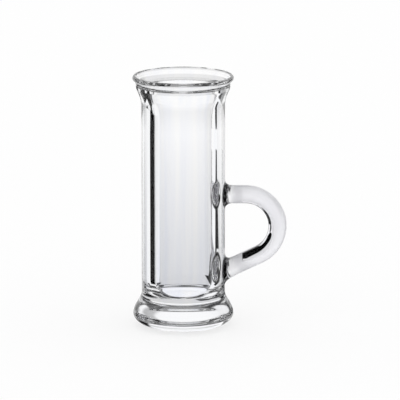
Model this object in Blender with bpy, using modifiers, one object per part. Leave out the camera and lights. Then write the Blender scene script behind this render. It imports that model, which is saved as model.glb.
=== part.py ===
"""Handled shot glass: a thick-walled bowl on a flared foot, with a bent glass rod as its handle.

Units are metres. The bowl's axis is Z, the foot stands on z = 0 and the handle points along +X.
"""
import math

import bmesh
import bpy
from mathutils import Vector

# Bowl: heights are measured up from the table, depths down from the top of the lip.
OVERALL_HEIGHT = 0.1110
TUBE_RADIUS = 0.0182
WALL_THICKNESS = 0.0055
FLOOR_THICKNESS = 0.0030
BORE_CORNER_WIDTH = 0.0032
BORE_CORNER_HEIGHT = 0.0070
THROAT_DEPTH = 0.0240
THROAT_BEND_DEPTH = 0.0137
THROAT_BEND_TAPER = 0.00055
LEDGE_DEPTH = 0.0049
LEDGE_TAPER = 0.0023
LEDGE_WIDTH = 0.0030
LEDGE_RISE = 0.0008
MOUTH_DEPTH = 0.0004
MOUTH_TAPER = 0.0077
LIP_OVERHANG = 0.0038
LIP_ROUND_WIDTH = 0.0010
LIP_ROUND_DEPTH = 0.0012
BAND_TOP_DEPTH = 0.0036
BAND_BOTTOM_DEPTH = 0.0057
BAND_OVERHANG = 0.0024
NECK_OVERHANG = 0.0021
FLARE_DEPTH = 0.0135

# Foot
WAIST_HEIGHT = 0.0152
JOINT_HEIGHT = 0.0110
FOOT_OVERHANG = 0.0038
FOOT_EDGE_HEIGHT = 0.0054
FOOT_ROUND_WIDTH = 0.0095

# Handle: the finger gap is the clear reach from the wall to the inside of the loop.
ROD_RADIUS = 0.00395
FINGER_GAP = 0.0190
LOOP_RADIUS = 0.0141
LOWER_RUN_SLOPE = math.radians(25.5)

# Seals: the gathers of hot glass that stick the two rod ends to the wall.
LOWER_SEAL_RISE = 0.00915
UPPER_SEAL_LENGTH = 0.0038
UPPER_SEAL_SPREAD = 0.0028
LOWER_SEAL_LENGTH = 0.0056
LOWER_SEAL_SPREAD_ABOVE = 0.0040
LOWER_SEAL_SPREAD_BELOW = 0.0020
SEAL_EDGE_THICKNESS = 0.0003

# Clearance left between neighbouring pieces.
SEAM_GAP = 0.0003

# Sizes that follow from the ones above.
BORE_RADIUS = TUBE_RADIUS - WALL_THICKNESS
BORE_FLOOR_HEIGHT = JOINT_HEIGHT + FLOOR_THICKNESS
THROAT_BEND_RADIUS = BORE_RADIUS + THROAT_BEND_TAPER
LEDGE_RADIUS = BORE_RADIUS + LEDGE_TAPER
MOUTH_RADIUS = BORE_RADIUS + MOUTH_TAPER
RIM_RADIUS = TUBE_RADIUS + LIP_OVERHANG
CREST_RADIUS = RIM_RADIUS - LIP_ROUND_WIDTH
BAND_RADIUS = TUBE_RADIUS + BAND_OVERHANG
NECK_RADIUS = TUBE_RADIUS + NECK_OVERHANG
FOOT_RADIUS = TUBE_RADIUS + FOOT_OVERHANG
BASE_RADIUS = FOOT_RADIUS - FOOT_ROUND_WIDTH

# How finely the round shapes are cut.
TURNED_STEPS = 64
ROD_ARC_POINTS = 28
ROD_BEVEL_RESOLUTION = 6
SEAL_SIDES = 24
SEAL_FILLET_RINGS = 6
SEAL_PRINT_RINGS = 3


def clear_scene():
    for obj in list(bpy.data.objects):
        bpy.data.objects.remove(obj, do_unlink=True)


def new_collection(name):
    collection = bpy.data.collections.new(name)
    bpy.context.scene.collection.children.link(collection)
    return collection


def clear_glass(name, colour, roughness):
    material = bpy.data.materials.new(name)
    material.use_nodes = True
    shader = material.node_tree.nodes["Principled BSDF"]
    shader.inputs["Base Color"].default_value = colour
    shader.inputs["Roughness"].default_value = roughness
    shader.inputs["Metallic"].default_value = 0.0
    shader.inputs["IOR"].default_value = 1.5
    shader.inputs["Transmission Weight"].default_value = 1.0
    return material


def sweep_points(start, pull_out, pull_in, end, count):
    """Points of a cubic curve after its start, up to and with its end.

    Each pull is given as shares of the way from start to end, across and up.
    """
    width = end[0] - start[0]
    rise = end[1] - start[1]
    points = []
    for step in range(1, count + 1):
        t = step / count
        out_weight = 3 * t * (1 - t) ** 2
        in_weight = 3 * t * t * (1 - t)
        across = out_weight * pull_out[0] + in_weight * pull_in[0] + t ** 3
        up = out_weight * pull_out[1] + in_weight * pull_in[1] + t ** 3
        points.append((start[0] + width * across, start[1] + rise * up))
    return points


def arc_points(centre, across, up, start_angle, end_angle, count):
    """Points of an elliptical arc after its start, up to and with its end."""
    points = []
    for step in range(1, count + 1):
        angle = start_angle + (end_angle - start_angle) * step / count
        points.append((centre[0] + across * math.cos(angle), centre[1] + up * math.sin(angle)))
    return points


def flank_radius(height):
    """Outer radius where the straight wall swells into the foot."""
    u = (WAIST_HEIGHT - height) / (WAIST_HEIGHT - FOOT_EDGE_HEIGHT)
    return TUBE_RADIUS + (FOOT_RADIUS - TUBE_RADIUS) * u * u * (3 - 2 * u)


def flank_points(top, bottom, count):
    heights = [top + (bottom - top) * step / count for step in range(1, count + 1)]
    return [(flank_radius(height), height) for height in heights]


def bowl_profile():
    floor = BORE_FLOOR_HEIGHT
    top = OVERALL_HEIGHT
    corner_centre = (BORE_RADIUS - BORE_CORNER_WIDTH, floor + BORE_CORNER_HEIGHT)
    throat = (BORE_RADIUS, top - THROAT_DEPTH)
    bend = (THROAT_BEND_RADIUS, top - THROAT_BEND_DEPTH)
    ledge_inner = (LEDGE_RADIUS, top - LEDGE_DEPTH)
    ledge_outer = (LEDGE_RADIUS + LEDGE_WIDTH, top - LEDGE_DEPTH + LEDGE_RISE)
    mouth = (MOUTH_RADIUS, top - MOUTH_DEPTH)
    crest = (CREST_RADIUS, top)
    lip_centre = (CREST_RADIUS, top - LIP_ROUND_DEPTH)
    lip_side = (RIM_RADIUS, top - LIP_ROUND_DEPTH)
    band_top = (BAND_RADIUS, top - BAND_TOP_DEPTH)
    band_bottom = (NECK_RADIUS, top - BAND_BOTTOM_DEPTH)
    shoulder = (TUBE_RADIUS, top - FLARE_DEPTH)

    profile = [(0.0, floor), (corner_centre[0], floor)]
    profile += arc_points(corner_centre, BORE_CORNER_WIDTH, BORE_CORNER_HEIGHT, -math.pi / 2, 0, 6)
    profile.append(throat)
    profile += sweep_points(throat, (0, 0.4), (0.4, 0.68), bend, 5)
    profile += sweep_points(bend, (0.22, 0.33), (0.62, 0.75), ledge_inner, 6)
    profile += sweep_points(ledge_inner, (0.35, 0.1), (0.75, 0.6), ledge_outer, 4)
    profile += sweep_points(ledge_outer, (0.2, 0.15), (0.75, 0.7), mouth, 5)
    profile += sweep_points(mouth, (0.2, 0.5), (0.5, 1), crest, 3)
    profile += arc_points(lip_centre, LIP_ROUND_WIDTH, LIP_ROUND_DEPTH, math.pi / 2, 0, 5)
    profile += sweep_points(lip_side, (0, 0.45), (1, 0.6), band_top, 5)
    profile.append(band_bottom)
    profile += sweep_points(band_bottom, (0.38, 0.25), (1, 0.53), shoulder, 7)
    profile.append((TUBE_RADIUS, WAIST_HEIGHT))
    profile += flank_points(WAIST_HEIGHT, JOINT_HEIGHT, 4)
    profile.append((0.0, JOINT_HEIGHT))
    return profile


def foot_profile():
    top = JOINT_HEIGHT - SEAM_GAP
    profile = [(0.0, top), (flank_radius(top), top)]
    profile += flank_points(top, FOOT_EDGE_HEIGHT, 5)
    profile += arc_points(
        (BASE_RADIUS, FOOT_EDGE_HEIGHT), FOOT_RADIUS - BASE_RADIUS, FOOT_EDGE_HEIGHT, 0, -math.pi / 2, 9
    )
    profile.append((0.0, 0.0))
    return profile


def turned_piece(name, profile, material, collection):
    mesh = bpy.data.meshes.new(name)
    points = [(r, 0.0, z) for r, z in profile]
    edges = [(i, i + 1) for i in range(len(points) - 1)]
    mesh.from_pydata(points, edges, [])
    piece = bpy.data.objects.new(name, mesh)
    collection.objects.link(piece)
    screw = piece.modifiers.new("Turn", "SCREW")
    screw.axis = "Z"
    screw.angle = math.tau
    screw.steps = TURNED_STEPS
    screw.render_steps = TURNED_STEPS
    screw.use_merge_vertices = True
    screw.merge_threshold = 0.00001
    screw.use_smooth_shade = True
    piece.data.materials.append(material)
    return piece


def loop_centre():
    """Set so that the lower run, carried on from the loop at its slope, meets the wall above the waist."""
    x = TUBE_RADIUS + FINGER_GAP + ROD_RADIUS - LOOP_RADIUS
    reach = x + LOOP_RADIUS * math.sin(LOWER_RUN_SLOPE) - TUBE_RADIUS
    run_rise = reach * math.tan(LOWER_RUN_SLOPE) + LOOP_RADIUS * math.cos(LOWER_RUN_SLOPE)
    return Vector((x, 0, WAIST_HEIGHT + LOWER_SEAL_RISE + run_rise))


def upper_wall_point():
    return Vector((TUBE_RADIUS, 0, loop_centre().z + LOOP_RADIUS))


def lower_wall_point():
    return Vector((TUBE_RADIUS, 0, WAIST_HEIGHT + LOWER_SEAL_RISE))


def lower_outward():
    """The lower run's direction, away from the wall."""
    return Vector((math.cos(LOWER_RUN_SLOPE), 0, math.sin(LOWER_RUN_SLOPE)))


def handle_path():
    centre = loop_centre()
    upper_end = upper_wall_point() + Vector((UPPER_SEAL_LENGTH + SEAM_GAP, 0, 0))
    lower_end = lower_wall_point() + lower_outward() * (LOWER_SEAL_LENGTH + SEAM_GAP)
    start_angle = math.pi / 2
    end_angle = LOWER_RUN_SLOPE - math.pi / 2
    path = [upper_end]
    for step in range(ROD_ARC_POINTS + 1):
        angle = start_angle + (end_angle - start_angle) * step / ROD_ARC_POINTS
        path.append(centre + LOOP_RADIUS * Vector((math.cos(angle), 0, math.sin(angle))))
    path.append(lower_end)
    return path


def rod_piece(name, path, material, collection):
    curve = bpy.data.curves.new(name, "CURVE")
    curve.dimensions = "3D"
    curve.bevel_depth = ROD_RADIUS
    curve.bevel_resolution = ROD_BEVEL_RESOLUTION
    curve.use_fill_caps = True
    spline = curve.splines.new("POLY")
    spline.points.add(len(path) - 1)
    for point, place in zip(spline.points, path):
        point.co = (place.x, place.y, place.z, 1.0)
    spline.use_smooth = True
    piece = bpy.data.objects.new(name, curve)
    collection.objects.link(piece)
    piece.data.materials.append(material)
    return piece


def on_wall(along, height, lift):
    """A point at a distance round the wall, a height, and a lift above the seal's seat."""
    seat = TUBE_RADIUS + SEAM_GAP
    angle = along / seat
    return Vector(((seat + lift) * math.cos(angle), (seat + lift) * math.sin(angle), height))


def from_wall(place):
    seat = TUBE_RADIUS + SEAM_GAP
    return Vector((math.atan2(place.y, place.x) * seat, place.z, math.hypot(place.x, place.y) - seat))


def meet_wall(place, inward):
    """Where a line from the rod's surface meets the seat round the wall."""
    seat = TUBE_RADIUS + SEAM_GAP
    a = inward.x ** 2 + inward.y ** 2
    b = 2 * (place.x * inward.x + place.y * inward.y)
    c = place.x ** 2 + place.y ** 2 - seat ** 2
    reach = (-b - math.sqrt(b * b - 4 * a * c)) / (2 * a)
    return place + inward * reach


def seal_rings(wall_point, outward, length, spread_above, spread_below):
    """Rings from the rod's end, down a hollow fillet to the wall, and across the print on the wall."""
    upward = Vector((-outward.z, 0, outward.x))
    sideways = Vector((0, 1, 0))
    rod_end = wall_point + outward * length
    middle = Vector((0, wall_point.z))
    angles = [math.tau * step / SEAL_SIDES for step in range(SEAL_SIDES)]
    starts = [rod_end + ROD_RADIUS * (math.cos(a) * sideways + math.sin(a) * upward) for a in angles]
    rings = [starts]
    sides = []
    for angle, start in zip(angles, starts):
        corner = from_wall(meet_wall(start, -outward))
        corner_place = Vector((corner.x, corner.y))
        spread = (spread_above + spread_below) / 2 + (spread_above - spread_below) / 2 * math.sin(angle)
        edge = corner_place + spread * (corner_place - middle).normalized()
        sides.append((from_wall(start), corner, Vector((edge.x, edge.y, SEAL_EDGE_THICKNESS))))
    for step in range(1, SEAL_FILLET_RINGS + 1):
        t = step / SEAL_FILLET_RINGS
        ring = []
        for start, corner, edge in sides:
            place = start * (1 - t) ** 2 + corner * 2 * t * (1 - t) + edge * t * t
            ring.append(on_wall(place.x, place.y, place.z))
        rings.append(ring)
    for step in range(SEAL_PRINT_RINGS):
        share = 1 - step / SEAL_PRINT_RINGS
        ring = []
        for _, _, edge in sides:
            place = middle + (Vector((edge.x, edge.y)) - middle) * share
            ring.append(on_wall(place.x, place.y, 0))
        rings.append(ring)
    return rings, rod_end, on_wall(middle.x, middle.y, 0)


def seal_piece(name, run, material, collection):
    rings, rod_end, print_centre = seal_rings(*run)
    work = bmesh.new()
    loops = [[work.verts.new(place) for place in ring] for ring in rings]
    for first, second in zip(loops, loops[1:]):
        for i in range(SEAL_SIDES):
            j = (i + 1) % SEAL_SIDES
            work.faces.new((first[i], first[j], second[j], second[i])).smooth = True
    for loop, place in ((loops[0], rod_end), (loops[-1], print_centre)):
        pole = work.verts.new(place)
        for i in range(SEAL_SIDES):
            work.faces.new((loop[i], loop[(i + 1) % SEAL_SIDES], pole))
    bmesh.ops.recalc_face_normals(work, faces=work.faces)
    mesh = bpy.data.meshes.new(name)
    work.to_mesh(mesh)
    work.free()
    piece = bpy.data.objects.new(name, mesh)
    collection.objects.link(piece)
    piece.data.materials.append(material)
    return piece


clear_scene()
glass = new_collection("Handled shot glass")

bowl_glass = clear_glass("bowl glass", (0.96, 0.96, 0.98, 1), 0.02)
turned_piece("bowl", bowl_profile(), bowl_glass, glass)

foot_glass = clear_glass("foot glass", (0.95, 0.95, 0.97, 1), 0.02)
turned_piece("foot", foot_profile(), foot_glass, glass)

rod_glass = clear_glass("handle glass", (0.93, 0.93, 0.97, 1), 0.03)
rod_piece("handle", handle_path(), rod_glass, glass)

upper_run = (
    upper_wall_point(),
    Vector((1, 0, 0)),
    UPPER_SEAL_LENGTH,
    UPPER_SEAL_SPREAD,
    UPPER_SEAL_SPREAD,
)
upper_glass = clear_glass("upper seal glass", (0.92, 0.92, 0.96, 1), 0.03)
seal_piece("upper_handle_seal", upper_run, upper_glass, glass)

lower_run = (
    lower_wall_point(),
    lower_outward(),
    LOWER_SEAL_LENGTH,
    LOWER_SEAL_SPREAD_ABOVE,
    LOWER_SEAL_SPREAD_BELOW,
)
lower_glass = clear_glass("lower seal glass", (0.92, 0.92, 0.96, 1), 0.03)
seal_piece("lower_handle_seal", lower_run, lower_glass, glass)
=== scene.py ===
"""Looks for the handled shot glass: clear glass pieces fused together hot, standing on a pale table."""

import math

import bmesh
import bpy
from mathutils import Matrix, Vector
from mathutils.geometry import interpolate_bezier


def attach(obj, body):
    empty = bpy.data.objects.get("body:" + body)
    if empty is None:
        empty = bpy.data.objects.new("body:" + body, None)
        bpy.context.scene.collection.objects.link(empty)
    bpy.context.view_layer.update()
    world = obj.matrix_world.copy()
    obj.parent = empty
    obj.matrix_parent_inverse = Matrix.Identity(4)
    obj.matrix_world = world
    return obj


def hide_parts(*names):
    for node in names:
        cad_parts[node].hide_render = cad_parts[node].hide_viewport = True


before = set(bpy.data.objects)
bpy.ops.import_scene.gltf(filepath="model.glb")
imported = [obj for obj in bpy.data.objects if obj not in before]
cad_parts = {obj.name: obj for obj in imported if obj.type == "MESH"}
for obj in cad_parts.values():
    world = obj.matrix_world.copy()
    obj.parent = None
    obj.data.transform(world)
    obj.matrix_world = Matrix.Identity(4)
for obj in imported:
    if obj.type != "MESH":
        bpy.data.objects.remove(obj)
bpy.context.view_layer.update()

# Sizes of the glass in metres, the same as the solids have. A place on the profile is a radius and a height.
TUBE_RADIUS = 0.0182
BORE_RADIUS = 0.0127
FLOOR_HEIGHT = 0.0140
BORE_CORNER_WIDTH = 0.0032
BORE_CORNER_HEIGHT = 0.0070
THROAT_START = (BORE_RADIUS, 0.0870)
THROAT_BEND = (0.01325, 0.0973)
LEDGE_INNER = (0.0150, 0.1061)
LEDGE_OUTER = (0.0180, 0.1069)
MOUTH = (0.0204, 0.1106)
LIP_INNER = (0.0210, 0.1110)
LIP_OUTER = (0.0220, 0.1098)
BAND_TOP = (0.0206, 0.1074)
BAND_BOTTOM = (0.0203, 0.1053)
NECK = (TUBE_RADIUS, 0.0975)
JOINT_HEIGHT = 0.0110
WAIST_HEIGHT = 0.0152
FOOT_RADIUS = 0.0220
FOOT_EDGE_HEIGHT = 0.0054
BASE_RADIUS = 0.0125
ROD_RADIUS = 0.00395
FINGER_GAP = 0.0190
LOOP_RADIUS = 0.0141
LOWER_SLOPE = math.radians(25.5)
LOWER_SEAL_HEIGHT = 0.02435
UPPER_SEAL_LENGTH = 0.0038
UPPER_SEAL_SPREAD = 0.0028
LOWER_SEAL_LENGTH = 0.0056
LOWER_SEAL_SPREAD_ABOVE = 0.0040
LOWER_SEAL_SPREAD_BELOW = 0.0020
SOCKET_DEPTH = 0.0003

# The rod's loop: its middle, its end where the lower run starts, and the ways that both runs leave the wall.
LOOP_X = TUBE_RADIUS + FINGER_GAP + ROD_RADIUS - LOOP_RADIUS
LOOP_END_X = LOOP_X + LOOP_RADIUS * math.sin(LOWER_SLOPE)
LOOP_END_Z = LOWER_SEAL_HEIGHT + (LOOP_END_X - TUBE_RADIUS) * math.tan(LOWER_SLOPE)
LOOP_Z = LOOP_END_Z + LOOP_RADIUS * math.cos(LOWER_SLOPE)
UPPER_SEAL_HEIGHT = LOOP_Z + LOOP_RADIUS
UPPER_RUN = Vector((1, 0, 0))
LOWER_RUN = Vector((math.cos(LOWER_SLOPE), 0, math.sin(LOWER_SLOPE)))

# How finely the round shapes are divided.
TURN_STEPS = 192
ROD_SIDES = 64
LOOP_STEPS = 120
UPPER_RUN_STEPS = 4
LOWER_RUN_STEPS = 6
FILLET_STEPS = 24
SMOOTH_ANGLE = math.radians(28)
MERGE_DISTANCE = 1e-7
# How far a curve's pulls go towards a corner, so that it follows a quarter of an ellipse.
ARC_PULL = 0.5523

# Where the rings of a pad's print on the wall lie, as shares of the way from its middle to its edge.
PRINT_SHARES = (0.2, 0.4, 0.6, 0.8, 1)
# The short straight collar of a pad at the rod's end, and how far a socket's cutter stands out of the wall.
COLLAR = 0.00005
CUTTER_LIFT = 0.0004


def new_tree(owner):
    owner.use_nodes = True
    return owner.node_tree


def wire(tree, socket, value):
    if hasattr(value, "links"):
        tree.links.new(value, socket)
    else:
        socket.default_value = value


GLASS_INDEX = 1.5
SOFT_SHINE = (0.2, 0.2, 0.2, 1)


def clear_glass(name):
    """Clear glass with no tint yet. Returns the material, its tree, its shader and its coordinates."""
    material = bpy.data.materials.new(name)
    tree = new_tree(material)
    shader = tree.nodes["Principled BSDF"]
    shader.inputs["Roughness"].default_value = 0.0
    shader.inputs["IOR"].default_value = GLASS_INDEX
    shader.inputs["Transmission Weight"].default_value = 1.0
    shader.inputs["Specular Tint"].default_value = SOFT_SHINE
    place = tree.nodes.new("ShaderNodeTexCoord").outputs["Object"]
    return material, tree, shader, place


def calc(tree, operation, *values):
    made = tree.nodes.new("ShaderNodeMath")
    made.operation = operation
    for socket, value in zip(made.inputs, values):
        wire(tree, socket, value)
    return made.outputs["Value"]


def products(tree, a, b, c, d):
    """The first times the second, plus the third times the fourth."""
    return calc(tree, "ADD", calc(tree, "MULTIPLY", a, b), calc(tree, "MULTIPLY", c, d))


def axes_of(tree, place):
    made = tree.nodes.new("ShaderNodeSeparateXYZ")
    wire(tree, made.inputs["Vector"], place)
    return made.outputs


def stretched(tree, place, scale):
    made = tree.nodes.new("ShaderNodeMapping")
    made.inputs["Scale"].default_value = scale
    wire(tree, made.inputs["Vector"], place)
    return made.outputs["Vector"]


def streaks(tree, place, grain):
    """Noise from 0 to 1, drawn out by giving the three grain numbers different sizes."""
    made = tree.nodes.new("ShaderNodeTexNoise")
    made.inputs["Scale"].default_value = 1.0
    made.inputs["Detail"].default_value = 2.0
    wire(tree, made.inputs["Vector"], stretched(tree, place, grain))
    return made.outputs["Fac"]


def share(tree, value, low, high):
    """Goes softly from 0 to 1 as the value goes from low to high."""
    made = tree.nodes.new("ShaderNodeMapRange")
    made.interpolation_type = "SMOOTHSTEP"
    wire(tree, made.inputs["Value"], value)
    made.inputs["From Min"].default_value = low
    made.inputs["From Max"].default_value = high
    return made.outputs["Result"]


def tint(tree, shader, value, colours):
    """Colours the glass from the first colour to the second as the value goes from 0 to 1."""
    made = tree.nodes.new("ShaderNodeValToRGB")
    for stop, colour in zip(made.color_ramp.elements, colours):
        stop.color = (*colour, 1)
    wire(tree, made.inputs["Fac"], value)
    wire(tree, shader.inputs["Base Color"], made.outputs["Color"])


def ripples(tree, shader, height, depth):
    skin = tree.nodes.new("ShaderNodeBump")
    skin.inputs["Distance"].default_value = depth
    wire(tree, skin.inputs["Height"], height)
    wire(tree, shader.inputs["Normal"], skin.outputs["Normal"])


def drifted(tree, noise, amount, level):
    """The level, moved up and down by noise."""
    return calc(tree, "MULTIPLY_ADD", calc(tree, "SUBTRACT", noise, 0.5), amount, level)


# The bowl's tint, bluish and, as painted shade, deeper towards the bottom: its colours, the heights between
# which the painted shade pales away, its levels below and above them, and how far the draw lines move it.
BOWL_TINTS = ((0.90, 0.92, 0.985), (1.0, 1.0, 1.0))
PAINTED_SHADE_HEIGHTS = (0.010, 0.095)
PAINTED_SHADE_LEVEL_BELOW = 0.65
PAINTED_SHADE_LEVEL_ABOVE = 0.92
DRAW_LINE_TINT = 2.8
DRAW_LINE_GRAIN = (210, 210, 9)
DRAW_LINE_DEPTH = 0.000006


def bowl_glass():
    """Bluish glass, with painted shade that deepens its tint towards the bottom, and faint upright draw
    lines.
    """
    material, tree, shader, place = clear_glass("bowl glass")
    lines = streaks(tree, place, DRAW_LINE_GRAIN)
    # Painted shade: the tint deepens from the top of the bowl towards its bottom.
    rise = share(tree, axes_of(tree, place)["Z"], *PAINTED_SHADE_HEIGHTS)
    level = calc(tree, "MULTIPLY_ADD", rise, PAINTED_SHADE_LEVEL_ABOVE - PAINTED_SHADE_LEVEL_BELOW, PAINTED_SHADE_LEVEL_BELOW)
    tint(tree, shader, drifted(tree, lines, DRAW_LINE_TINT, level), BOWL_TINTS)
    ripples(tree, shader, lines, DRAW_LINE_DEPTH)
    return material


FOOT_TINTS = ((0.93, 0.94, 0.965), (0.985, 0.985, 0.995))
ROUND_GRAIN = (60, 60, 160)
ROUND_DEPTH = 0.000008


def foot_glass():
    """Thick pressed glass, a little blue, with slow rounds in its skin."""
    material, tree, shader, place = clear_glass("foot glass")
    rounds = streaks(tree, place, ROUND_GRAIN)
    tint(tree, shader, rounds, FOOT_TINTS)
    ripples(tree, shader, rounds, ROUND_DEPTH)
    return material


# Full milk: how rough it makes the glass, and how much of the light it stops from going straight through.
MILK_ROUGHNESS = 0.5
MILK_SHARE = 0.65


def milky(tree, shader, milk):
    wire(tree, shader.inputs["Roughness"], calc(tree, "MULTIPLY", milk, MILK_ROUGHNESS))
    wire(tree, shader.inputs["Transmission Weight"], calc(tree, "MULTIPLY_ADD", milk, -MILK_SHARE, 1.0))


# Where the rod is clear. On its near side that is a stretch along the inside of the loop, within reach of a
# middle in x and z. On its far side it is a streak along the loop. Both stop at an end in x, and every edge
# is a little soft.
CLEAR_MIDDLE = (0.0260, 0.0425)
CLEAR_REACH = 0.0131
CLEAR_SOFTNESS = 0.0004
CLEAR_END = 0.0257
STREAK_RADIUS = LOOP_RADIUS + 0.0004
STREAK_REACH = 0.0018
STREAK_SOFTNESS = 0.0006
FAR_SIDE = (-0.0006, 0.0002)
ROD_TINTS = ((0.90, 0.90, 0.94), (0.98, 0.98, 1.0))
CLOUD_GRAIN = (90, 90, 90)


def handle_glass():
    """Milky glass, left clear along the inside of the loop."""
    material, tree, shader, place = clear_glass("handle glass")
    axes = axes_of(tree, place)

    def away_from(x, z):
        across = calc(tree, "SUBTRACT", axes["X"], x)
        up = calc(tree, "SUBTRACT", axes["Z"], z)
        return calc(tree, "SQRT", products(tree, across, across, up, up))

    def milk_past(distance, reach, softness):
        past = share(tree, distance, reach, reach + softness)
        end = share(tree, axes["X"], CLEAR_END + CLEAR_SOFTNESS, CLEAR_END - CLEAR_SOFTNESS)
        return calc(tree, "MAXIMUM", past, end)

    near = milk_past(away_from(*CLEAR_MIDDLE), CLEAR_REACH, CLEAR_SOFTNESS)
    off_streak = calc(tree, "SUBTRACT", away_from(LOOP_X, LOOP_Z), STREAK_RADIUS)
    far = milk_past(calc(tree, "ABSOLUTE", off_streak), STREAK_REACH, STREAK_SOFTNESS)
    far_side = share(tree, axes["Y"], *FAR_SIDE)
    cloud = streaks(tree, place, CLOUD_GRAIN)
    tint(tree, shader, cloud, ROD_TINTS)
    milky(tree, shader, calc(tree, "MULTIPLY_ADD", far_side, calc(tree, "SUBTRACT", far, near), near))
    return material


# The pads' painted shade, a dark tint that stands in for the dark the glass bends in from around it, and
# their milk:
# the distances from the bowl's axis at which each is none and full, the places in y at which both are none
# and full, the colours of clear glass and of the painted shade, and the painted shade's mottle.
PAD_PAINTED_SHADE = (0.0208, 0.0190)
PAD_MILK = (0.0203, 0.0214)
PAD_NEAR_SIDE = (0.0016, 0.0004)
PAD_CLEAR_AND_SHADE_TINTS = ((0.97, 0.97, 0.99), (0.03, 0.03, 0.035))
MOTTLE_GRAIN = (400, 400, 400)
MOTTLE_TINT = 0.4


def seal_glass():
    """Painted shade, dark where the pad meets the wall, and milky where it meets the rod, on the near side
    alone.
    """
    material, tree, shader, place = clear_glass("seal glass")
    reach = tree.nodes.new("ShaderNodeVectorMath")
    reach.operation = "LENGTH"
    wire(tree, reach.inputs[0], stretched(tree, place, (1, 1, 0)))
    near_side = share(tree, axes_of(tree, place)["Y"], *PAD_NEAR_SIDE)

    def on_near_side(distances):
        return calc(tree, "MULTIPLY", share(tree, reach.outputs["Value"], *distances), near_side)

    mottle = streaks(tree, place, MOTTLE_GRAIN)
    # Painted shade: the tint darkens to near black towards the wall, with a mottle, on the near side alone.
    tint(tree, shader, drifted(tree, mottle, MOTTLE_TINT, on_near_side(PAD_PAINTED_SHADE)), PAD_CLEAR_AND_SHADE_TINTS)
    milky(tree, shader, on_near_side(PAD_MILK))
    return material


def see_through(name):
    """A surface that light passes straight through. Returns the material, its tree and its shader."""
    material = bpy.data.materials.new(name)
    tree = new_tree(material)
    tree.nodes.clear()
    clear = tree.nodes.new("ShaderNodeBsdfTransparent")
    output = tree.nodes.new("ShaderNodeOutputMaterial")
    wire(tree, output.inputs["Surface"], clear.outputs["BSDF"])
    return material, tree, clear


def run(start, start_pull, end_pull, end, count):
    """Points along a curve in the profile's plane, whose places are radius and height."""
    knots = [Vector((r, 0, z)) for r, z in (start, start_pull, end_pull, end)]
    return interpolate_bezier(*knots, count)


def line(start, end, count):
    return run(start, start, end, end, count)


def joined_runs(*runs):
    points = list(runs[0])
    for one in runs[1:]:
        points += one[1:]
    return points


def quarter(corner_from, corner, corner_to, count):
    """A quarter ellipse that leaves one point and reaches the other, both along lines through the corner."""
    pull_a = tuple(a + ARC_PULL * (c - a) for a, c in zip(corner_from, corner))
    pull_b = tuple(b + ARC_PULL * (c - b) for b, c in zip(corner_to, corner))
    return run(corner_from, pull_a, pull_b, corner_to, count)


def flank_radius(height):
    """The outside of the base, which leaves the tube and reaches the foot's edge upright."""
    u = (WAIST_HEIGHT - height) / (WAIST_HEIGHT - FOOT_EDGE_HEIGHT)
    return TUBE_RADIUS + (FOOT_RADIUS - TUBE_RADIUS) * u * u * (3 - 2 * u)


def flank(top, bottom, count):
    heights = [top + (bottom - top) * i / (count - 1) for i in range(count)]
    return [Vector((flank_radius(z), 0, z)) for z in heights]


def sweep(start, pull_out, pull_in, end, count):
    """A curve whose two pulls are given as shares of the way across and of the way up."""
    width = end[0] - start[0]
    rise = end[1] - start[1]
    pulls = [(start[0] + width * across, start[1] + rise * up) for across, up in (pull_out, pull_in)]
    return run(start, pulls[0], pulls[1], end, count)


def bowl_profile():
    corner_start = (BORE_RADIUS - BORE_CORNER_WIDTH, FLOOR_HEIGHT)
    corner_end = (BORE_RADIUS, FLOOR_HEIGHT + BORE_CORNER_HEIGHT)
    return joined_runs(
        line((0, FLOOR_HEIGHT), corner_start, 6),
        quarter(corner_start, (BORE_RADIUS, FLOOR_HEIGHT), corner_end, 20),
        line(corner_end, THROAT_START, 30),
        sweep(THROAT_START, (0, 0.4), (0.4, 0.68), THROAT_BEND, 18),
        sweep(THROAT_BEND, (0.22, 0.33), (0.62, 0.75), LEDGE_INNER, 26),
        sweep(LEDGE_INNER, (0.35, 0.1), (0.75, 0.6), LEDGE_OUTER, 16),
        sweep(LEDGE_OUTER, (0.2, 0.15), (0.75, 0.7), MOUTH, 18),
        sweep(MOUTH, (0.2, 0.5), (0.5, 1), LIP_INNER, 8),
        quarter(LIP_INNER, (LIP_OUTER[0], LIP_INNER[1]), LIP_OUTER, 12),
        sweep(LIP_OUTER, (0, 0.45), (1, 0.6), BAND_TOP, 14),
        line(BAND_TOP, BAND_BOTTOM, 6),
        sweep(BAND_BOTTOM, (0.38, 0.25), (1, 0.53), NECK, 22),
        line(NECK, (TUBE_RADIUS, WAIST_HEIGHT), 60),
        flank(WAIST_HEIGHT, JOINT_HEIGHT, 16),
    )


def foot_profile():
    return joined_runs(
        flank(JOINT_HEIGHT, FOOT_EDGE_HEIGHT, 20),
        quarter((FOOT_RADIUS, FOOT_EDGE_HEIGHT), (FOOT_RADIUS, 0), (BASE_RADIUS, 0), 24),
        line((BASE_RADIUS, 0), (0, 0), 8),
    )


def turned(profile):
    """A turned shape whose open end is closed with a flat disc, where the next piece is fused on."""
    shape = bmesh.new()
    verts = [shape.verts.new(p) for p in profile]
    edges = [shape.edges.new(pair) for pair in zip(verts, verts[1:])]
    bmesh.ops.spin(
        shape,
        geom=verts + edges,
        axis=(0, 0, 1),
        cent=(0, 0, 0),
        angle=math.tau,
        steps=TURN_STEPS,
        use_merge=True,
    )
    bmesh.ops.remove_doubles(shape, verts=shape.verts, dist=MERGE_DISTANCE)
    open_end = [e for e in shape.edges if e.is_boundary]
    bmesh.ops.edgeloop_fill(shape, edges=open_end, mat_nr=1)
    bmesh.ops.recalc_face_normals(shape, faces=shape.faces)
    return shape


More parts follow.
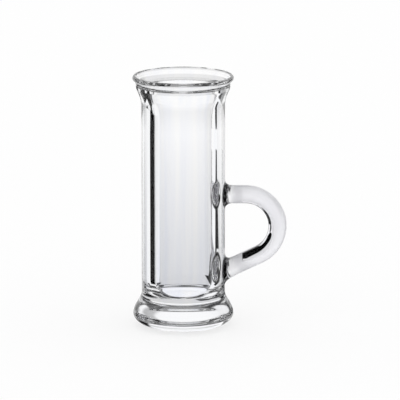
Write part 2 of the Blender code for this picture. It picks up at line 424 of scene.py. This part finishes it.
def on_wall(along, height, lift):
    """A place near the bowl's wall, from its length round the wall, its height and its lift off the wall."""
    angle = along / TUBE_RADIUS
    reach = TUBE_RADIUS + lift
    return Vector((reach * math.cos(angle), reach * math.sin(angle), height))


def off_wall(place):
    """The opposite of on_wall: unrolls a place to length, height and lift."""
    along = math.atan2(place.y, place.x) * TUBE_RADIUS
    lift = math.hypot(place.x, place.y) - TUBE_RADIUS
    return Vector((along, place.z, lift))


def meet_wall(place, inward):
    """Where a line from the place first meets the bowl's wall."""
    a = inward.x ** 2 + inward.y ** 2
    b = 2 * (place.x * inward.x + place.y * inward.y)
    c = place.x ** 2 + place.y ** 2 - TUBE_RADIUS ** 2
    return place + inward * ((-b - math.sqrt(b * b - 4 * a * c)) / (2 * a))


def seal_sides(height, outward, length, above, below):
    """For each side of the rod: its end, the same unrolled, its corner with the wall and its fillet's edge.

    Also returns the middle of the pad's print. Corner, edge and middle are unrolled too.
    """
    upward = Vector((-outward.z, 0, outward.x))
    middle = Vector((0, height))
    rod_end = Vector((TUBE_RADIUS, 0, height)) + outward * length
    sides = []
    for i in range(ROD_SIDES):
        angle = math.tau * i / ROD_SIDES
        start = rod_end + ROD_RADIUS * (math.cos(angle) * Vector((0, 1, 0)) + math.sin(angle) * upward)
        corner = off_wall(meet_wall(start, -outward))
        place = Vector((corner.x, corner.y))
        spread = (above + below) / 2 + (above - below) / 2 * math.sin(angle)
        edge = place + spread * (place - middle).normalized()
        sides.append((start, off_wall(start), corner, Vector((edge.x, edge.y, 0))))
    return sides, middle


def ring(shape, places):
    verts = [shape.verts.new(p) for p in places]
    return [shape.edges.new((verts[i], verts[(i + 1) % len(verts)])) for i in range(len(verts))]


def bridge(shape, rings):
    for first, second in zip(rings, rings[1:]):
        bmesh.ops.bridge_loops(shape, edges=first + second)


def print_rings(shape, sides, middle, lift):
    """Rings on the wall, or lifted off it, from near the middle of a pad's print out to its edge."""
    rings = []
    for way_out in PRINT_SHARES:
        places = []
        for _, _, _, edge in sides:
            spot = middle + (Vector((edge.x, edge.y)) - middle) * way_out
            places.append(on_wall(spot.x, spot.y, lift))
        rings.append(ring(shape, places))
    return rings


def seal(height, outward, length, above, below):
    """A pad that swells from the rod's end to the wall, and reaches a little into its socket."""
    sides, middle = seal_sides(height, outward, length, above, below)
    shape = bmesh.new()
    rings = [ring(shape, [start for start, _, _, _ in sides])]
    rings.append(ring(shape, [start - outward * COLLAR for start, _, _, _ in sides]))
    for step in range(1, FILLET_STEPS + 1):
        t = step / FILLET_STEPS
        places = []
        for _, start, corner, edge in sides:
            spot = start * (1 - t) ** 2 + corner * 2 * t * (1 - t) + edge * t * t
            places.append(on_wall(spot.x, spot.y, max(spot.z, 0)))
        if step == FILLET_STEPS:
            places = [on_wall(edge.x, edge.y, 0) for _, _, _, edge in sides]
        rings.append(ring(shape, places))
    bridge(shape, rings)
    glass_faces = set(shape.faces)
    base = print_rings(shape, sides, middle, -SOCKET_DEPTH)
    bridge(shape, [rings[-1]] + base[::-1])
    bmesh.ops.edgeloop_fill(shape, edges=base[0])
    bmesh.ops.edgeloop_fill(shape, edges=rings[0])
    for face in shape.faces:
        face.material_index = 0 if face in glass_faces else 1
    bmesh.ops.recalc_face_normals(shape, faces=shape.faces)
    return shape


def socket_cutter(height, outward, length, above, below):
    """What is cut out of the wall under a pad's print."""
    sides, middle = seal_sides(height, outward, length, above, below)
    shape = bmesh.new()
    outer = print_rings(shape, sides, middle, CUTTER_LIFT)
    inner = print_rings(shape, sides, middle, -SOCKET_DEPTH)
    bridge(shape, outer + inner[::-1])
    bmesh.ops.edgeloop_fill(shape, edges=outer[0])
    bmesh.ops.edgeloop_fill(shape, edges=inner[0])
    bmesh.ops.recalc_face_normals(shape, faces=shape.faces)
    return shape


def handle_rod():
    """A ring drawn out along the upper run, round the loop and down the lower run."""
    shape = bmesh.new()
    upper_end = Vector((TUBE_RADIUS, 0, UPPER_SEAL_HEIGHT)) + UPPER_RUN * UPPER_SEAL_LENGTH
    lower_end = Vector((TUBE_RADIUS, 0, LOWER_SEAL_HEIGHT)) + LOWER_RUN * LOWER_SEAL_LENGTH
    loop_start = Vector((LOOP_X, 0, UPPER_SEAL_HEIGHT))
    loop_end = Vector((LOOP_END_X, 0, LOOP_END_Z))
    stand = Matrix.Translation(upper_end) @ Matrix.Rotation(math.pi / 2, 4, "Y")
    bmesh.ops.create_circle(shape, cap_ends=False, segments=ROD_SIDES, radius=ROD_RADIUS, matrix=stand)
    edges = list(shape.edges)

    def draw_out(edges, way, steps):
        for _ in range(steps):
            made = bmesh.ops.extrude_edge_only(shape, edges=edges)["geom"]
            verts = [g for g in made if isinstance(g, bmesh.types.BMVert)]
            bmesh.ops.translate(shape, verts=verts, vec=way / steps)
            edges = [g for g in made if isinstance(g, bmesh.types.BMEdge) and g.is_boundary]
        return edges

    edges = draw_out(edges, loop_start - upper_end, UPPER_RUN_STEPS)
    loop = bmesh.ops.spin(
        shape,
        geom=edges,
        axis=(0, 1, 0),
        cent=(LOOP_X, 0, LOOP_Z),
        angle=math.pi - LOWER_SLOPE,
        steps=LOOP_STEPS,
    )
    edges = [g for g in loop["geom_last"] if isinstance(g, bmesh.types.BMEdge)]
    draw_out(edges, lower_end - loop_end, LOWER_RUN_STEPS)
    rims = [e for e in shape.edges if e.is_boundary]
    bmesh.ops.holes_fill(shape, edges=rims, sides=0)
    # The two ends are the only faces with more than four corners, and both are fused to a pad.
    for face in shape.faces:
        face.material_index = 1 if len(face.verts) > 4 else 0
    bmesh.ops.recalc_face_normals(shape, faces=shape.faces)
    return shape


def piece(name, shape, materials):
    mesh = bpy.data.meshes.new(name)
    shape.to_mesh(mesh)
    shape.free()
    obj = bpy.data.objects.new(name, mesh)
    bpy.context.scene.collection.objects.link(obj)
    for material in materials:
        mesh.materials.append(material)
    mesh.shade_smooth()
    mesh.set_sharp_from_angle(angle=SMOOTH_ANGLE)
    return obj


def cut_socket(obj, cutter):
    """Cuts the cutter out of the piece for good, and removes the cutter."""
    cut = obj.modifiers.new("Socket", "BOOLEAN")
    cut.operation = "DIFFERENCE"
    cut.solver = "EXACT"
    cut.object = cutter
    cut.material_mode = "TRANSFER"
    bpy.context.view_layer.update()
    evaluated = obj.evaluated_get(bpy.context.evaluated_depsgraph_get())
    mesh = bpy.data.meshes.new_from_object(evaluated)
    obj.modifiers.clear()
    old = obj.data
    mesh.name = old.name
    obj.data = mesh
    bpy.data.meshes.remove(old)
    bpy.data.objects.remove(cutter)


def stand_in(obj, node):
    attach(obj, "root")
    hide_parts(node)


# Nothing shows where two pieces have melted into one another.
seam, _, _ = see_through("fused seam")
pad_glass = seal_glass()
upper_seat = (UPPER_SEAL_HEIGHT, UPPER_RUN, UPPER_SEAL_LENGTH, UPPER_SEAL_SPREAD, UPPER_SEAL_SPREAD)
lower_seat = (
    LOWER_SEAL_HEIGHT,
    LOWER_RUN,
    LOWER_SEAL_LENGTH,
    LOWER_SEAL_SPREAD_ABOVE,
    LOWER_SEAL_SPREAD_BELOW,
)

bowl = piece("glass_bowl", turned(bowl_profile()), [bowl_glass(), seam])
for seat in (upper_seat, lower_seat):
    cut_socket(bowl, piece("socket", socket_cutter(*seat), [seam]))
bowl.data.set_sharp_from_angle(angle=SMOOTH_ANGLE)
foot = piece("glass_foot", turned(foot_profile()), [foot_glass(), seam])
rod = piece("glass_handle", handle_rod(), [handle_glass(), seam])
upper = piece("glass_upper_seal", seal(*upper_seat), [pad_glass, seam])
lower = piece("glass_lower_seal", seal(*lower_seat), [pad_glass, seam])
stand_in(bowl, "bowl")
stand_in(foot, "foot")
stand_in(rod, "handle")
stand_in(upper, "upper_handle_seal")
stand_in(lower, "lower_handle_seal")


# How much of the table shows as plain white to the camera.
TABLE_WHITE = 0.75
TABLE_RADIUS = 3.0


def pale_table():
    """Mostly white towards the camera, with the glass's shadow kept, and not seen in the glass."""
    material = bpy.data.materials.new("pale table")
    tree = new_tree(material)
    shader = tree.nodes["Principled BSDF"]
    shader.inputs["Base Color"].default_value = (0.97, 0.97, 0.97, 1)
    shader.inputs["Roughness"].default_value = 0.9
    shader.inputs["Specular IOR Level"].default_value = 0.0
    white = tree.nodes.new("ShaderNodeEmission")
    white.inputs["Strength"].default_value = 1.0
    mix = tree.nodes.new("ShaderNodeMixShader")
    camera_ray = tree.nodes.new("ShaderNodeLightPath").outputs["Is Camera Ray"]
    wire(tree, mix.inputs["Fac"], calc(tree, "MULTIPLY", camera_ray, TABLE_WHITE))
    wire(tree, mix.inputs[1], shader.outputs["BSDF"])
    wire(tree, mix.inputs[2], white.outputs["Emission"])
    wire(tree, tree.nodes["Material Output"].inputs["Surface"], mix.outputs["Shader"])
    shape = bmesh.new()
    bmesh.ops.create_circle(shape, cap_ends=True, segments=96, radius=TABLE_RADIUS)
    table = piece("table", shape, [material])
    table.visible_transmission = False
    table.visible_glossy = False


# What is seen only in the glass itself, in metres. The outlines in x and y lie just above the table behind
# the glass, and the cards with three numbers to a corner stand close beside its wall and its neck.
CARD_HEIGHT = 0.0004
SHADE_HEIGHT = 0.0002
NEAR_CARD = (
    (0.033, 0.020),
    (0.048, 0.020),
    (0.052, 0.036),
    (0.064, 0.044),
    (0.090, 0.052),
    (0.102, 0.072),
    (0.102, 0.104),
    (0.084, 0.116),
    (0.068, 0.106),
    (0.058, 0.091),
    (0.048, 0.085),
    (0.033, 0.087),
)
FAR_CARD = (
    (0.096, 0.080),
    (0.116, 0.084),
    (0.215, 0.175),
    (0.300, 0.270),
    (0.262, 0.300),
    (0.205, 0.245),
    (0.118, 0.130),
)
STRIP_CARD = (
    (-0.155, 0.109),
    (-0.155, 0.140),
    (-0.186, 0.164),
    (-0.240, 0.168),
    (-0.245, 0.118),
)
WALL_CARD = (
    (0.0205, 0.0045, 0.0505),
    (0.0195, 0.0051, 0.0330),
    (0.0230, 0.0029, 0.0330),
    (0.0230, 0.0029, 0.0505),
)
LEFT_NECK_CARD = (
    (-0.0198, 0.0093, 0.0960),
    (-0.0270, 0.0050, 0.1008),
    (-0.0270, 0.0050, 0.1040),
    (-0.0198, 0.0093, 0.1048),
)
RIGHT_NECK_CARD = tuple((-x, y, z) for x, y, z in LEFT_NECK_CARD)
RIGHT_NECK_THROUGH = 0.4
SHADE = (
    (0.020, 0.020),
    (0.330, 0.420),
    (0.200, 0.520),
    (-0.190, 0.520),
    (-0.020, 0.020),
)
# How far back the shade starts and stops fading, and how much light it lets through where it starts.
SHADE_START = 0.060
SHADE_STOP = 0.470
SHADE_DEEPEST = 0.70


def in_glass_only(name, places, material):
    shape = bmesh.new()
    shape.faces.new([shape.verts.new(p) for p in places])
    card = piece(name, shape, [material])
    card.visible_camera = False
    card.visible_diffuse = False
    card.visible_shadow = False


def dark_card(name, places, through=0.0):
    """Shows as a dark mark in the glass, and lets the given share of the light through."""
    material, _, clear = see_through(name)
    clear.inputs["Color"].default_value = (through, through, through, 1)
    in_glass_only(name, places, material)


def laid(outline, height):
    return [(x, y, height) for x, y in outline]


def table_shade():
    """A painted shadow on the table, seen in the glass alone: greyer towards the glass, it shades the bore
    from top to bottom.
    """
    material, tree, clear = see_through("table shade")
    place = tree.nodes.new("ShaderNodeTexCoord").outputs["Object"]
    grey = tree.nodes.new("ShaderNodeMapRange")
    wire(tree, grey.inputs["Value"], axes_of(tree, place)["Y"])
    grey.inputs["From Min"].default_value = SHADE_START
    grey.inputs["From Max"].default_value = SHADE_STOP
    grey.inputs["To Min"].default_value = SHADE_DEEPEST
    grey.inputs["To Max"].default_value = 1.0
    wire(tree, clear.inputs["Color"], grey.outputs["Result"])
    in_glass_only("table shade", laid(SHADE, SHADE_HEIGHT), material)


# What the glass sees around it, each patch painted over the ones before it: bearings from and to, counted
# from +X towards +Y, pitches from and to, softness of the side, lower and upper edges, all in degrees, and
# the brightness, where 1 is the white backdrop. The backdrop is at bearing 90 and the camera at 270.
STUDIO = (
    # The dim room and its ceiling, and a greyer wall to the right of the camera.
    ((0, 360), (-90, 90), (0, 0, 0), 0.06),
    ((0, 360), (60, 90), (0, 4, 0), 0.28),
    ((285, 345), (-90, 40), (10, 4, 8), 0.35),
    # The white backdrop and table, grey close behind the glass but for a white patch.
    ((20, 160), (-90, 48), (4, 2, 4), 1.0),
    ((20, 160), (-82, -45), (4, 2, 4), 0.35),
    ((66, 114), (-54.5, -40), (5, 1.2, 2), 1.0),
    # White straight below, and pale stretches of table on the camera's side.
    ((0, 360), (-90, -84), (0, 0, 2), 1.0),
    ((190, 350), (-57, -45), (4, 3, 3), 0.8),
    ((235, 305), (-26, -6), (6, 3, 3), 0.7),
    # A lit screen high on the camera's side, and a small one high behind the glass to the right.
    ((214, 326), (37, 80), (6, 3, 3), 0.6),
    ((214, 326), (46.5, 60), (6, 1.5, 3), 0.85),
    ((36, 62), (28, 42), (5, 3, 3), 0.55),
    # Dark boards: low behind at the left, at the right, low on the camera's side, and high at the right.
    ((106, 152), (-45, -22.5), (1.5, 2, 0.6), 0.08),
    ((4, 57), (-8.5, 24), (3, 1, 4), 0.0),
    ((225, 340), (-44, -27), (4, 1.5, 2), 0.0),
    ((15, 42), (41, 60), (4, 2, 4), 0.15),
    # A white board behind at the left, and beside it the black boards that show as the strip in the wall.
    ((110, 131), (-18.5, -7), (1, 1, 1), 1.0),
    ((132.5, 190), (-22.5, -7), (1, 0.6, 1), 0.0),
    ((132.5, 143), (-22.5, 14), (1, 0.6, 6), 0.0),
    # Black boards at the far right and the far left.
    ((-10, 15), (-20, -11), (2, 1, 1), 0.0),
    ((176, 200), (-30, -20.5), (2, 1, 1), 0.0),
    # White boards: right of the camera, level at the left, and low behind at the left.
    ((280, 350), (-19.5, -11), (2, 1, 1), 0.9),
    ((145, 215), (-6.5, 1.5), (2, 1, 1), 1.0),
    ((119, 170), (-29, -22.8), (1, 1, 0.5), 0.95),
)
FULL_TURN = 360
STRAIGHT_UP = 90
LEAST_SOFTNESS = 0.01
LEAST_REACH = 1e-5


def soft_edge(tree, angle, middle, softness, before, after):
    """Goes softly from one level to the other where the angle passes the middle, which is in degrees."""
    made = tree.nodes.new("ShaderNodeMapRange")
    made.interpolation_type = "SMOOTHSTEP"
    softness = max(softness, LEAST_SOFTNESS)
    wire(tree, made.inputs["Value"], angle)
    made.inputs["From Min"].default_value = math.radians(middle - softness)
    made.inputs["From Max"].default_value = math.radians(middle + softness)
    made.inputs["To Min"].default_value = before
    made.inputs["To Max"].default_value = after
    return made.outputs["Result"]


def studio_pattern(tree):
    """The brightness of the studio in the direction of a ray."""
    direction = tree.nodes.new("ShaderNodeTexCoord").outputs["Generated"]
    east, north, up = axes_of(tree, direction)
    reach = calc(tree, "SQRT", products(tree, east, east, north, north))
    flat = calc(tree, "MAXIMUM", reach, LEAST_REACH)
    pitch = calc(tree, "ARCTAN2", up, flat)

    def cover(bearings, pitches, softness):
        low, high = pitches
        side_soft, low_soft, high_soft = softness
        width = bearings[1] - bearings[0]
        covered = 1.0
        if width < FULL_TURN:
            middle = math.radians(sum(bearings) / 2)
            along = products(tree, east, math.cos(middle), north, math.sin(middle))
            off_middle = calc(tree, "ARCCOSINE", calc(tree, "DIVIDE", along, flat))
            covered = soft_edge(tree, off_middle, width / 2, side_soft, 1.0, 0.0)
        if low > -STRAIGHT_UP:
            covered = calc(tree, "MULTIPLY", covered, soft_edge(tree, pitch, low, low_soft, 0.0, 1.0))
        if high < STRAIGHT_UP:
            covered = calc(tree, "MULTIPLY", covered, soft_edge(tree, pitch, high, high_soft, 1.0, 0.0))
        return covered

    shown = STUDIO[0][-1]
    for bearings, pitches, softness, level in STUDIO[1:]:
        covered = cover(bearings, pitches, softness)
        left_over = calc(tree, "SUBTRACT", 1.0, covered)
        shown = products(tree, shown, left_over, covered, level)
    return shown


def studio_world():
    """Plain even light on everything, with the studio seen in the glass alone."""
    world = bpy.data.worlds.new("studio")
    bpy.context.scene.world = world
    tree = new_tree(world)
    tree.nodes.clear()
    shown = studio_pattern(tree)
    paths = tree.nodes.new("ShaderNodeLightPath").outputs
    in_glass = calc(tree, "MAXIMUM", paths["Is Transmission Ray"], paths["Is Glossy Ray"])
    plain = calc(tree, "SUBTRACT", 1.0, in_glass)
    background = tree.nodes.new("ShaderNodeBackground")
    background.inputs["Color"].default_value = (1, 1, 1, 1)
    strength = calc(tree, "MULTIPLY_ADD", in_glass, shown, plain)
    wire(tree, background.inputs["Strength"], strength)
    output = tree.nodes.new("ShaderNodeOutputWorld")
    wire(tree, output.inputs["Surface"], background.outputs["Background"])


# The camera's place, fitted to the photograph's outline.
VIEW_ELEVATION = math.radians(12.2)
VIEW_DISTANCE = 1.5
VIEW_TARGET = Vector((0.0073, 0, 0.0557))
METRES_PER_PIXEL = 0.000436
PHOTO_WIDTH = 400
SENSOR_WIDTH = 36


def photo_camera():
    lens = bpy.data.cameras.new("camera")
    lens.sensor_width = SENSOR_WIDTH
    lens.lens = SENSOR_WIDTH * VIEW_DISTANCE / (PHOTO_WIDTH * METRES_PER_PIXEL)
    camera = bpy.data.objects.new("camera", lens)
    bpy.context.scene.collection.objects.link(camera)
    backwards = Vector((0, -math.cos(VIEW_ELEVATION), math.sin(VIEW_ELEVATION)))
    camera.location = VIEW_TARGET + VIEW_DISTANCE * backwards
    camera.rotation_euler = (math.pi / 2 - VIEW_ELEVATION, 0, 0)
    bpy.context.scene.camera = camera


pale_table()
table_shade()
dark_card("near card", laid(NEAR_CARD, CARD_HEIGHT))
dark_card("far card", laid(FAR_CARD, CARD_HEIGHT))
dark_card("strip card", laid(STRIP_CARD, CARD_HEIGHT))
dark_card("wall card", WALL_CARD)
dark_card("left neck card", LEFT_NECK_CARD)
dark_card("right neck card", RIGHT_NECK_CARD, RIGHT_NECK_THROUGH)
studio_world()
photo_camera()

# Light passes many walls of glass on its way to the camera.
GLASS_BOUNCES = 32
cycles = bpy.context.scene.cycles
cycles.max_bounces = GLASS_BOUNCES
cycles.transmission_bounces = GLASS_BOUNCES
cycles.transparent_max_bounces = GLASS_BOUNCES
cycles.glossy_bounces = GLASS_BOUNCES // 2
bpy.context.scene.view_settings.view_transform = "Standard"
